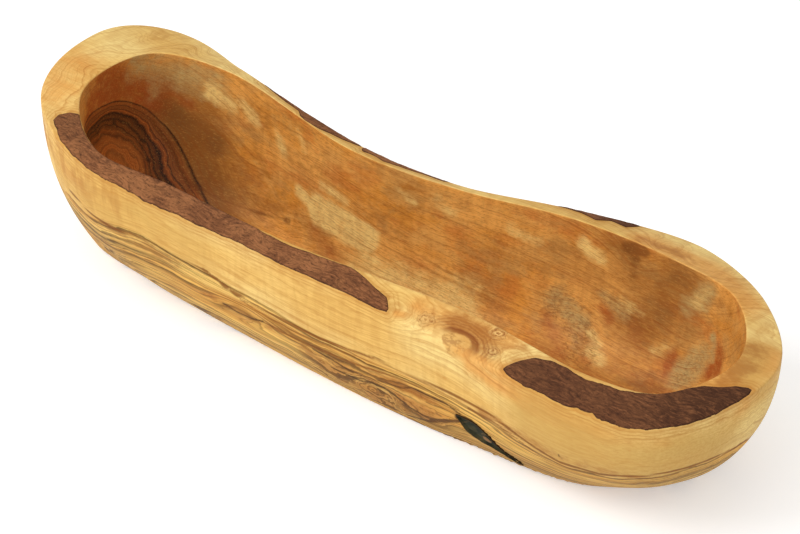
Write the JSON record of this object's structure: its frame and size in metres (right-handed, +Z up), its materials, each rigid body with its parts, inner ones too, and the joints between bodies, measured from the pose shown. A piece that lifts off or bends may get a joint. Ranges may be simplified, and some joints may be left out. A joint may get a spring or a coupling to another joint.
{
  "type": "wooden bread bowl",
  "caption": "Long live-edge bread bowl carved from one length of olive log, with a deep hollow, a flat foot and natural bark left along the rim.",
  "frame": {"origin": "on the table, under the middle of the bowl's box", "axes": "+X along the bowl, towards its lower, wider end; +Y towards the waisted back; +Z up"},
  "size_m": [0.398, 0.1404, 0.0856],
  "materials": {
    "wood": "oiled and hand rubbed, satin",
    "bark": "sanded bark, matt",
    "pocket": "ingrown bark, dull"
  },
  "bodies": {
    "root": {"bowl_body": "wood", "bark_front_left": "bark", "bark_front_right": "bark", "bark_back_left": "bark", "bark_back_middle": "bark", "bark_back_right": "bark", "bark_pocket": "pocket"}
  },
  "joints": []
}
